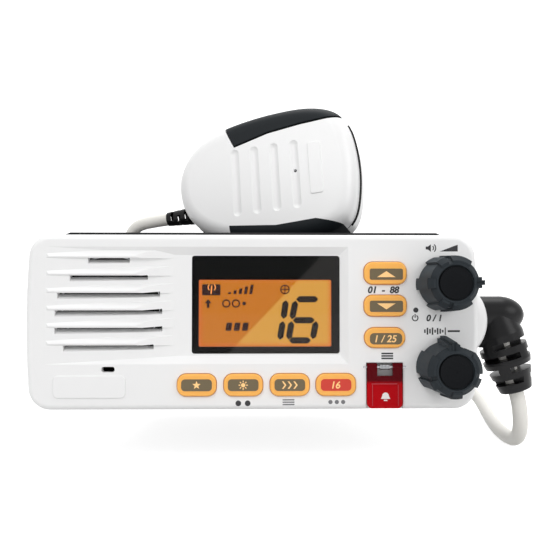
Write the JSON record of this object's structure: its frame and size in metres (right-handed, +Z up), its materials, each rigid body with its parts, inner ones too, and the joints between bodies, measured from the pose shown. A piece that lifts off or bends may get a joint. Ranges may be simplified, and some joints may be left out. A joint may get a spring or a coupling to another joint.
{
  "type": "vhf marine radio",
  "caption": "Fixed-mount marine radio: white panel with louvred grille, amber display, lit keys, two knobs and a flip cover, a black finned case, and a corded fist microphone resting on top.",
  "frame": {"origin": "middle of the gimbal axis, halfway between the two threaded side bosses", "axes": "+X to the right seen from the front and along the gimbal axis, +Y towards the back, +Z up"},
  "size_m": [0.2271, 0.218, 0.1631],
  "materials": {
    "white_shell": "satin moulded ABS",
    "black_rubber": "satin",
    "grip_rubber": "soft-touch, satin",
    "black_casting": "powder coated die casting",
    "clear_window": "polished",
    "dark_plastic": "moulded",
    "lcd": "backlit amber",
    "clear_guide": "polished acrylic",
    "steel": "zinc plated",
    "dark_paper": "pressed paper",
    "green_board": "solder mask",
    "knob_rubber": "matt elastomer",
    "red_clear": "tinted polycarbonate",
    "red_key": "satin",
    "amber_key": "translucent silicone, painted",
    "brass": "turned",
    "white_cord": "matt sheath",
    "aluminium_can": "drawn"
  },
  "bodies": {
    "root": {"front_panel": "white_shell", "panel_gasket": "black_rubber", "cord_elbow": "black_rubber", "power_grommet": "black_rubber", "speaker_gasket": "black_rubber", "chassis": "black_casting", "bottom_cover": "black_casting", "display_window": "clear_window", "display_mask": "dark_plastic", "lcd_holder": "dark_plastic", "lcd_glass": "lcd", "lcd_backlight": "lcd", "key_light_guide": "clear_guide", "speaker_frame": "steel", "speaker_magnet": "steel", "speaker_cone": "dark_paper", "tact_switches": "dark_plastic", "board_link": "dark_plastic", "panel_board": "green_board", "main_board": "green_board", "volume_pot": "steel", "squelch_pot": "steel", "cover_pin": "steel", "cover_spring": "steel", "case_screws": "steel", "board_screws": "steel", "bracket_inserts": "brass", "shield_can": "steel", "power_module": "dark_plastic", "antenna_socket": "steel", "speaker_jack": "dark_plastic", "cord_tail": "white_cord", "cord_curl": "white_cord", "cord_lead": "white_cord"},
    "volume": {"volume_knob": "knob_rubber", "volume_shaft": "steel"},
    "squelch": {"squelch_knob": "knob_rubber", "squelch_shaft": "steel"},
    "cover": {"distress_cover": "red_clear"},
    "distress": {"distress_button": "red_key"},
    "mic": {"mic_front_shell": "white_shell", "mic_rear_shell": "white_shell", "mic_seam": "black_rubber", "mic_grip": "grip_rubber", "talk_switch": "dark_plastic", "talk_spring": "steel", "mic_board": "green_board", "mic_element": "aluminium_can", "mic_screws": "steel", "hang_stud": "steel", "mic_cord_relief": "black_rubber"},
    "talk": {"talk_button": "grip_rubber"},
    "channel_up": {"channel_up_key": "amber_key"},
    "channel_down": {"channel_down_key": "amber_key"},
    "power_level": {"power_level_key": "amber_key"},
    "first": {"first_key": "amber_key"},
    "second": {"second_key": "amber_key"},
    "third": {"third_key": "amber_key"},
    "red": {"red_key": "amber_key"}
  },
  "joints": [
    {"name": "volume_turn", "type": "hinge", "parent": "root", "child": "volume", "pos_m": [0.0779, -0.0605, 0.0156], "axis": [0, 1, 0], "range_deg": [-220, 50]},
    {"name": "squelch_turn", "type": "hinge", "parent": "root", "child": "squelch", "pos_m": [0.0779, -0.0605, -0.0185], "axis": [0, 1, 0], "range_deg": [-135, 135]},
    {"name": "cover_flip", "type": "hinge", "parent": "root", "child": "cover", "pos_m": [0.0536, -0.0596, -0.0184], "axis": [-1, 0, 0], "range_deg": [0, 100], "stiffness_Nm_per_rad": 0.002, "springref_deg": -34.38},
    {"name": "distress_press", "type": "slide", "parent": "root", "child": "distress", "axis": [0, 1, 0], "range_m": [0, 0.0006], "stiffness_N_per_m": 1000, "springref_m": -0.001},
    {"name": "mic_lift", "type": "slide", "parent": "root", "child": "mic", "axis": [0, 0, 1], "range_m": [0, 0.05]},
    {"name": "talk_press", "type": "slide", "parent": "mic", "child": "talk", "axis": [0.0566, -0.1639, -0.9848], "range_m": [0, 0.0009], "stiffness_N_per_m": 2500, "springref_m": -0.001},
    {"name": "channel_up_press", "type": "slide", "parent": "root", "child": "channel_up", "axis": [0, 1, 0], "range_m": [0, 0.0008], "stiffness_N_per_m": 1000, "springref_m": -0.001},
    {"name": "channel_down_press", "type": "slide", "parent": "root", "child": "channel_down", "axis": [0, 1, 0], "range_m": [0, 0.0008], "stiffness_N_per_m": 1000, "springref_m": -0.001},
    {"name": "power_level_press", "type": "slide", "parent": "root", "child": "power_level", "axis": [0, 1, 0], "range_m": [0, 0.0008], "stiffness_N_per_m": 1000, "springref_m": -0.001},
    {"name": "first_press", "type": "slide", "parent": "root", "child": "first", "axis": [0, 1, 0], "range_m": [0, 0.0008], "stiffness_N_per_m": 1000, "springref_m": -0.001},
    {"name": "second_press", "type": "slide", "parent": "root", "child": "second", "axis": [0, 1, 0], "range_m": [0, 0.0008], "stiffness_N_per_m": 1000, "springref_m": -0.001},
    {"name": "third_press", "type": "slide", "parent": "root", "child": "third", "axis": [0, 1, 0], "range_m": [0, 0.0008], "stiffness_N_per_m": 1000, "springref_m": -0.001},
    {"name": "red_press", "type": "slide", "parent": "root", "child": "red", "axis": [0, 1, 0], "range_m": [0, 0.0008], "stiffness_N_per_m": 1000, "springref_m": -0.001}
  ]
}
